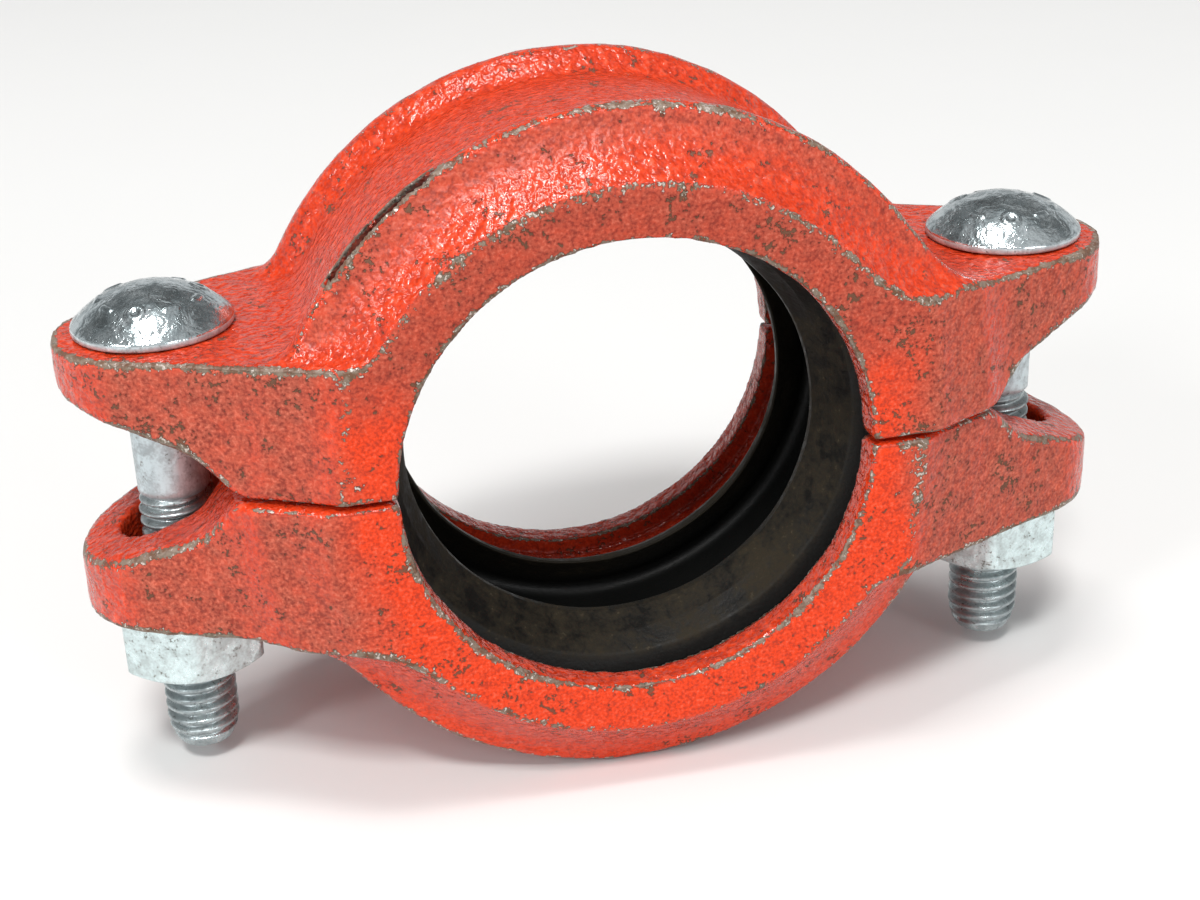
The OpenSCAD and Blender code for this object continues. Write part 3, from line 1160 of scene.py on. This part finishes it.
@dataclass
class TrackBolt:
    """A round-head track bolt with an oval neck and a rolled thread."""

    side: Side
    seat: float
    pitch: float = 1.5875
    thread_len: float = 37.0
    crest_r: float = 4.72
    root_r: float = 3.86
    shank_r: float = 4.55
    tip_r: float = 3.2
    tip_slope: float = 0.85
    neck_len: float = 13.0
    neck_w: float = 10.2
    neck_h: float = 6.0
    rim_h: float = 1.0
    rim_round: float = 0.12
    mark_r: float = 6.3
    mark_h: float = 0.20
    mark_ring_r: float = 0.85
    dash_half: float = 0.75
    marks: int = 9
    hammered: float = 0.035
    steps: int = 264
    dome_rows: int = 70
    shank_rows: int = 24
    turn_rows: int = 10
    thread_columns: int = 72

    def __post_init__(self) -> None:
        """Names the bolt and finds its axis."""
        self.name = self.side.name.lower()
        self.body = self.name + "_bolt"
        self.x = self.side.value * SIZES.bolt_x
        self.thread_top = SIZES.bolt_end + self.thread_len

    def neck(self, angles: np.ndarray, grow: float) -> np.ndarray:
        """The oval neck's radius at each angle.

        Args:
            angles: the angles.
            grow: how far outside the neck to go.

        Returns:
            The radii.
        """
        round_r, run = self.neck_w / 2 + grow, (self.neck_len - self.neck_w) / 2
        cos, sin = np.abs(np.cos(angles)), np.maximum(np.abs(np.sin(angles)), 1e-6)
        ends = run * cos + np.sqrt(np.maximum(round_r ** 2 - (run * sin) ** 2, 0.0))
        return np.where(round_r / sin * cos < run, round_r / sin, ends)

    def raised_marks(self, radius: float, angles: np.ndarray) -> np.ndarray:
        """The height of the plain dashes and rings that are raised on the dome.

        Args:
            radius: the distance from the head's centre.
            angles: the angles round it.

        Returns:
            The heights in millimetres.
        """
        height = np.zeros_like(angles)
        for mark in range(self.marks):
            at = (mark + 0.35) * 2 * math.pi / self.marks
            swing = (angles - at + math.pi) % (2 * math.pi) - math.pi
            along, out = swing * self.mark_r, radius - self.mark_r
            if mark % 3 == 0:
                away = np.abs(np.hypot(along, out) - self.mark_ring_r)
            else:
                away = np.hypot(np.maximum(np.abs(along) - self.dash_half, 0.0), out)
            height += self.mark_h * (1.0 - smooth_step(away, 0.14, 0.52))
        return height

    def head(self, material: bpy.types.Material) -> bpy.types.Object:
        """The dome with its raised marks, the rim and the seat.

        Args:
            material: the finish to set.

        Returns:
            The finished head, neck and plain shank.
        """
        skin = TurnedSkin(self.steps)
        rim, seat = SIZES.head_r, self.seat
        low, high = seat + self.rim_h, SIZES.head_top - self.mark_h
        dome_r = (rim ** 2 + (high - low) ** 2) / (2 * (high - low))
        for row in range(1, self.dome_rows + 1):
            radius = (rim - self.rim_round) * row / self.dome_rows
            top = high - dome_r + math.sqrt(dome_r ** 2 - radius ** 2)
            wave = np.sin(3 * skin.angles + radius * 0.9) * math.sin(math.pi * radius / rim)
            marks = self.raised_marks(radius, skin.angles)
            skin.ring(radius, top + self.hammered * (wave - 1.0) + marks)
        # The rim, from the dome's edge down to the seat.
        for inset, height in ((0.0, low - self.rim_round), (0.0, seat + 0.35), (0.1, seat + 0.12),
                              (0.35, seat), (1.5, seat)):
            skin.ring(rim - inset, height)
        # The neck, tucked in a little under the seat and rounded at its lower end.
        neck_end = seat - self.neck_h
        for grow, height in ((0.0, seat), (-0.05, seat - 0.4), (-0.05, neck_end + 0.5),
                             (-0.35, neck_end + 0.1), (-0.5, neck_end)):
            skin.ring(self.neck(skin.angles, grow), height)
        # The plain shank, which ends inside the thread's run-out.
        top = neck_end - 0.25
        span = top - self.thread_top
        skin.ring(self.shank_r + 0.25, neck_end)
        for row in range(self.shank_rows + 1):
            height = top - span * row / self.shank_rows
            skin.ring(self.shank_r + 0.012 * np.sin(2 * skin.angles + height * 0.6), height)
        skin.ring(self.root_r, self.thread_top - 0.7)
        skin.ring(self.root_r - 1.0, self.thread_top - 0.8)
        mesh = skin.mesh(self.name + "_bolt_head", Matrix.Translation((self.x, 0, 0)), looped=False)
        mesh.materials.append(material)
        keep_edges(mesh, 4)
        return placed(mesh.name, mesh)

    def shank_finish(self, head: bpy.types.Object, material: bpy.types.Material) -> None:
        """Gives the rim, the neck and the shank the duller plating.

        Args:
            head: the bolt without its thread.
            material: the finish to set.
        """
        head.data.materials.append(material)
        for face in head.data.polygons:
            face.material_index = int(face.center.z < (self.seat + self.rim_h - 0.05) * MM)

    def thread(self, material: bpy.types.Material) -> bpy.types.Object:
        """The helical thread, from its run-out under the shank to the rounded tip.

        Args:
            material: the finish to set.

        Returns:
            The finished thread.
        """
        turns = math.ceil(self.thread_len / self.pitch) + 2
        tree = GeometryTree(self.name + "_bolt_thread", {
            "Axis X": self.x, "Top": self.thread_top, "End": SIZES.bolt_end, "Pitch": self.pitch,
            "Crest radius": self.crest_r, "Root radius": self.root_r, "Tip radius": self.tip_r,
        })
        grid = tree.node("GeometryNodeMeshGrid", {
            "Vertices X": self.thread_columns + 1, "Vertices Y": turns * self.turn_rows + 1,
        })
        across, along, _ = tree.split(tree.place())
        round_share, climb = across + 0.5, (along + 0.5) * turns
        top, end = tree.size("Top"), tree.size("End")
        height = (end + (climb + round_share - 1.0) * tree.size("Pitch")).above(end).below(top)
        # The ridge fades into the shank at its top and narrows to a round tip at its end.
        ridge = abs(tree.math("FRACT", climb + 0.001) * 2.0 - 1.0).step(0.12, 0.80)
        fade = (top - height).step(0.2, 1.9)
        depth = tree.size("Crest radius") - tree.size("Root radius")
        radius = tree.size("Root radius") + depth * ridge * fade
        tip = tree.size("Tip radius") + (height - end).above(0.0).sqrt() * self.tip_slope
        radius = radius.below(tip, 0.25).below((top - height) * 1.5 + self.root_r - 0.3)
        inner = (climb * (turns - climb)).step(0.0, 0.02)
        angle = round_share * (2 * math.pi)
        radius = radius * inner * MM
        place = tree.join(
            radius * tree.math("COSINE", angle) + tree.size("Axis X") * MM,
            radius * tree.math("SINE", angle),
            height * MM,
        )
        move = tree.node("GeometryNodeSetPosition", {"Geometry": grid.outputs["Mesh"], "Position": place})
        weld = tree.node("GeometryNodeMergeByDistance", {
            "Geometry": move.outputs["Geometry"], "Distance": 2e-6,
        })
        tree.finish(weld.outputs["Geometry"], material)
        made = tree.run(tree.tree.name)
        work = bmesh.new()
        work.from_mesh(made.data)
        bmesh.ops.dissolve_degenerate(work, edges=work.edges, dist=1e-6)
        bmesh.ops.recalc_face_normals(work, faces=work.faces)
        work.to_mesh(made.data)
        work.free()
        keep_edges(made.data, 4)
        return made

    def dress(self) -> None:
        """Builds the bolt and settles it in place of its CAD node."""
        head = self.head(HEAD_ZINC.shared())
        self.shank_finish(head, SHANK_ZINC.shared())
        settle(head, self.body)
        settle(self.thread(THREAD_ZINC.shared()), self.body)


@dataclass
class HeavyNut:
    """A hexagon nut, bevelled at both ends, with a countersunk thread."""

    side: Side
    turn: float
    across_flats: float = 17.46
    corner_round: float = 0.10
    bevel_extra: float = 0.35
    thread_r: float = 4.82
    mouth: float = 0.55
    groove: float = 0.55
    grooves: int = 5
    pitch: float = 1.5875
    steps: int = 180

    def outer(self, angles: np.ndarray) -> np.ndarray:
        """The hexagon's radius at each angle, with its corners a little rounded.

        Args:
            angles: the angles.

        Returns:
            The radii.
        """
        swing = (angles - math.radians(self.turn) + math.pi / 6) % (math.pi / 3) - math.pi / 6
        flats = [self.across_flats / 2 / np.cos(swing + side * math.pi / 3) for side in (-1, 0, 1)]
        power = 4 / self.corner_round
        near = sum((self.across_flats / 2 / flat).clip(1e-6) ** power for flat in flats)
        return self.across_flats / 2 / near ** (1 / power)

    def build(self, material: bpy.types.Material) -> bpy.types.Object:
        """Makes the nut's mesh.

        Args:
            material: the finish to set.

        Returns:
            The finished object.
        """
        skin = TurnedSkin(self.steps)
        low, high = SIZES.nut_bottom, SIZES.nut_top
        hexagon = self.outer(skin.angles)
        slope = math.tan(math.radians(30))
        flat_r = self.across_flats / 2 - self.bevel_extra / slope
        fall = (hexagon - flat_r) * slope
        mouth_r = self.thread_r + self.mouth
        # From the upper mouth outwards over the bevel, down the flats and back inwards below.
        for share in (0.0, 0.5, 1.0):
            skin.ring(mouth_r + (flat_r - mouth_r) * share, high)
        for share in (0.35, 0.7, 0.96):
            skin.ring(flat_r + (hexagon - flat_r) * share, high - fall * share)
        for share in (0.02, 0.2, 0.4, 0.6, 0.8, 0.98):
            skin.ring(hexagon, high - fall + (low - high + 2 * fall) * share)
        for share in (0.96, 0.7, 0.35):
            skin.ring(flat_r + (hexagon - flat_r) * share, low + fall * share)
        for share in (1.0, 0.5, 0.0):
            skin.ring(mouth_r + (flat_r - mouth_r) * share, low)
        # Up through the thread.
        skin.ring(self.thread_r, low + self.mouth)
        for groove in range(self.grooves):
            middle = low + 0.9 + (groove + 0.5) * self.pitch
            for lift, depth in ((-0.7, 0.0), (-0.08, self.groove), (0.08, self.groove), (0.7, 0.0)):
                skin.ring(self.thread_r + depth, middle + lift)
        skin.ring(self.thread_r, high - self.mouth)
        name = self.side.name.lower() + "_hex_nut"
        mesh = skin.mesh(name, Matrix.Translation((self.side.value * SIZES.bolt_x, 0, 0)), looped=True)
        mesh.materials.append(material)
        keep_edges(mesh, 2)
        return placed(name, mesh)

    def dress(self) -> None:
        """Builds the nut and settles it in place of its CAD node."""
        settle(self.build(NUT_ZINC.shared()), self.side.name.lower() + "_nut")


# ---------------------------------------------------------------- studio


@dataclass(frozen=True)
class Lamp:
    """A square soft lamp that faces the coupling."""

    name: str
    place: tuple[float, float, float]
    power: float
    size: float
    colour: Colour

    def hang(self) -> None:
        """Puts the lamp in the scene."""
        data = bpy.data.lights.new(self.name, "AREA")
        data.energy, data.size, data.color = self.power, self.size * MM, self.colour
        lamp = bpy.data.objects.new(self.name, data)
        lamp.location = Vector(self.place) * MM
        lamp.rotation_euler = Vector(self.place).to_track_quat("Z", "Y").to_euler()
        bpy.context.scene.collection.objects.link(lamp)


LAMPS = (
    Lamp("ceiling_lamp", (-250, -150, 2300), power=24.0, size=560.0, colour=(1.0, 0.985, 0.96)),
    Lamp("crest_lamp", (-460, -1300, 2080), power=38.0, size=420.0, colour=(1.0, 0.99, 0.97)),
    Lamp("left_lamp", (-1700, -1250, 1200), power=14.0, size=380.0, colour=(0.98, 0.99, 1.0)),
    Lamp("front_lamp", (990, -2160, 990), power=10.0, size=700.0, colour=(0.97, 0.99, 1.0)),
)


@dataclass
class Studio:
    """A pale floor, soft lamps, a pale room and the camera."""

    azimuth: float = -10.27
    elevation: float = 23.15
    roll: float = -2.83
    distance: float = 245.21
    slide: float = -9.06
    lift: float = -1.86
    lens: float = 56.30
    shift_x: float = 0.0596
    shift_y: float = -0.0281
    floor_r: float = 3000.0
    floor_rings: tuple[float, ...] = (0.04, 0.12, 0.3, 0.6, 1.0)
    floor_steps: int = 64
    flat_share: float = 0.3
    dish_slope: float = 0.02
    floor_drop: float = 0.05
    floor_colour: Colour = (0.74, 0.74, 0.738)
    floor_shade: float = 0.985
    room_light: float = 0.55

    def floor(self) -> None:
        """Lays a pale disc of floor, dished up at its far edge, under the coupling."""
        work = bmesh.new()
        centre = work.verts.new((0, 0, 0))
        angles = [step * 2 * math.pi / self.floor_steps for step in range(self.floor_steps)]
        rings = []
        for share in self.floor_rings:
            radius = self.floor_r * share
            rise = self.dish_slope * radius * max(0.0, share - self.flat_share)
            rings.append([
                work.verts.new((radius * math.cos(angle), radius * math.sin(angle), rise))
                for angle in angles
            ])
        for step in range(self.floor_steps):
            after = (step + 1) % self.floor_steps
            work.faces.new((centre, rings[0][step], rings[0][after]))
            for low, high in zip(rings, rings[1:]):
                work.faces.new((low[step], high[step], high[after], low[after]))
        bmesh.ops.scale(work, vec=(MM, MM, MM), verts=work.verts)
        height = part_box("lower_housing")[0].z - self.floor_drop * MM
        bmesh.ops.translate(work, vec=(0, 0, height), verts=work.verts)
        mesh = bpy.data.meshes.new("floor")
        work.to_mesh(mesh)
        work.free()
        tree = ShaderTree("pale_floor")
        cloud = tree.grains(40.0, 61.0, 3.0)
        shade = tuple(self.floor_shade * part for part in self.floor_colour)
        tree.set(base_color=tree.blend(cloud, self.floor_colour, shade), roughness=0.75)
        mesh.materials.append(tree.material)
        placed("floor", mesh)

    def room(self) -> None:
        """A pale room with a darker band of wall above the horizon."""
        world = bpy.data.worlds.new("room")
        bpy.context.scene.world = world
        world.use_nodes = True
        tree = TreeMaker(world.node_tree)
        aim = tree.node("ShaderNodeTexCoord").outputs["Generated"]
        _, depth, height = tree.split(aim)
        # Height runs from 0 at the horizon to 1 straight up, and the wall is dark part of the way up.
        wall = height.step(0.33, 0.41) * height.step(0.99, 0.80)
        clutter = tree.noise(aim, 110.0, 4.0, 71.0, 0.8).step(0.40, 0.58)
        dark = wall * (0.40 + clutter * 0.60) * (depth + 0.25).step(-0.5, 0.5)
        glow = 1.0 - dark * 0.95
        back = world.node_tree.nodes["Background"]
        tree.plug(back, "Color", tree.join(glow, glow * 1.01, glow * 1.02))
        tree.plug(back, "Strength", self.room_light)

    def camera(self) -> None:
        """Sets the camera by its angles round the coupling, its distance and its roll."""
        around, up_by, roll = map(math.radians, (self.azimuth, self.elevation, self.roll))
        level = math.cos(up_by)
        back = Vector((math.sin(around) * level, -math.cos(around) * level, math.sin(up_by)))
        right = (-back).cross(Vector((0, 0, 1))).normalized()
        up = right.cross(-back)
        cos, sin = math.cos(roll), math.sin(roll)
        right, up = cos * right + sin * up, -sin * right + cos * up
        place = (back * self.distance + right * self.slide + up * self.lift) * MM
        data = bpy.data.cameras.new("camera")
        data.sensor_width, data.lens = 36.0, self.lens
        data.shift_x, data.shift_y, data.clip_start = self.shift_x, self.shift_y, 0.01
        camera = bpy.data.objects.new("camera", data)
        camera.matrix_world = Matrix((
            (right.x, up.x, back.x, place.x),
            (right.y, up.y, back.y, place.y),
            (right.z, up.z, back.z, place.z),
            (0, 0, 0, 1),
        ))
        bpy.context.scene.collection.objects.link(camera)
        bpy.context.scene.camera = camera

    def build(self) -> None:
        """Sets up the floor, the lamps, the room and the camera."""
        self.floor()
        for lamp in LAMPS:
            lamp.hang()
        self.room()
        self.camera()
        bpy.context.scene.view_settings.view_transform = "Standard"


# ---------------------------------------------------------------- assembly


def main() -> None:
    """Builds the coupling piece by piece, then the studio around it."""
    logging.basicConfig(level=logging.INFO, format="%(message)s")
    enamel = CastEnamel().make()
    HousingCasting(Half.UPPER, SIZES.upper_seat).dress(enamel)
    HousingCasting(Half.LOWER, SIZES.lower_seat).dress(enamel)
    Gasket().dress(DustyRubber().make())
    for side, nut_turn in ((Side.LEFT, 0.0), (Side.RIGHT, -19.0)):
        TrackBolt(side, SIZES.upper_seat).dress()
        HeavyNut(side, nut_turn).dress()
    Studio().build()


if __name__ == "__main__":
    main()
